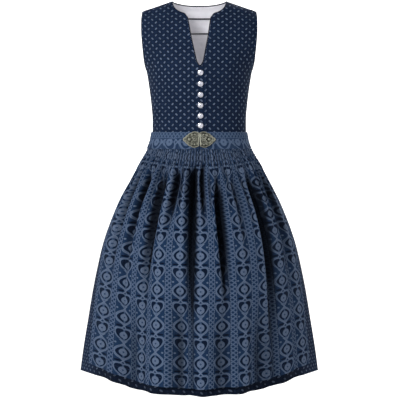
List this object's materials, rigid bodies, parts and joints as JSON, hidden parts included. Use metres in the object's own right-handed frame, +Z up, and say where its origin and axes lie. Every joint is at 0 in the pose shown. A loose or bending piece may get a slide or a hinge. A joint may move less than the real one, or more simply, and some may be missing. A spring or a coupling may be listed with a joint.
{
  "type": "dirndl",
  "caption": "Sleeveless folk dress with a slit neck, buttoned bodice, gathered skirt and smocked apron on a clasped band, in its worn form.",
  "frame": {"origin": "midway between the places where the wearer's shoulders carry the dress, just under the shoulder seams", "axes": "+Z up, +Y towards the back of the dress, +X towards the wearer's left"},
  "size_m": [0.667, 0.553, 1.0385],
  "materials": {
    "printed_cotton": "navy printed cotton, matt, small pale sprigs",
    "apron_cotton": "blue printed cotton in ornament and lattice stripes, faint sheen",
    "lining_cotton": "white cotton, plain weave, matt",
    "binding": "dark navy corded piping",
    "lining_tape": "dark grey woven tape",
    "button_metal": "bright silvered metal, pressed ring and dome",
    "clasp_metal": "cast metal with an old-silver patina"
  },
  "bodies": {
    "root": {"bodice_front_right": "printed_cotton", "bodice_front_left": "printed_cotton", "bodice_back": "printed_cotton", "lining_back": "lining_cotton", "lining_tape_upper": "lining_tape", "lining_tape_lower": "lining_tape", "neck_piping": "binding", "armhole_piping_right": "binding", "armhole_piping_left": "binding", "button_1": "button_metal", "button_2": "button_metal", "button_3": "button_metal", "button_4": "button_metal", "button_5": "button_metal", "button_6": "button_metal", "apron_waistband": "apron_cotton", "apron": "apron_cotton", "skirt_front": "printed_cotton", "skirt_back": "printed_cotton", "clasp_right": "clasp_metal", "clasp_left": "clasp_metal"}
  },
  "joints": []
}
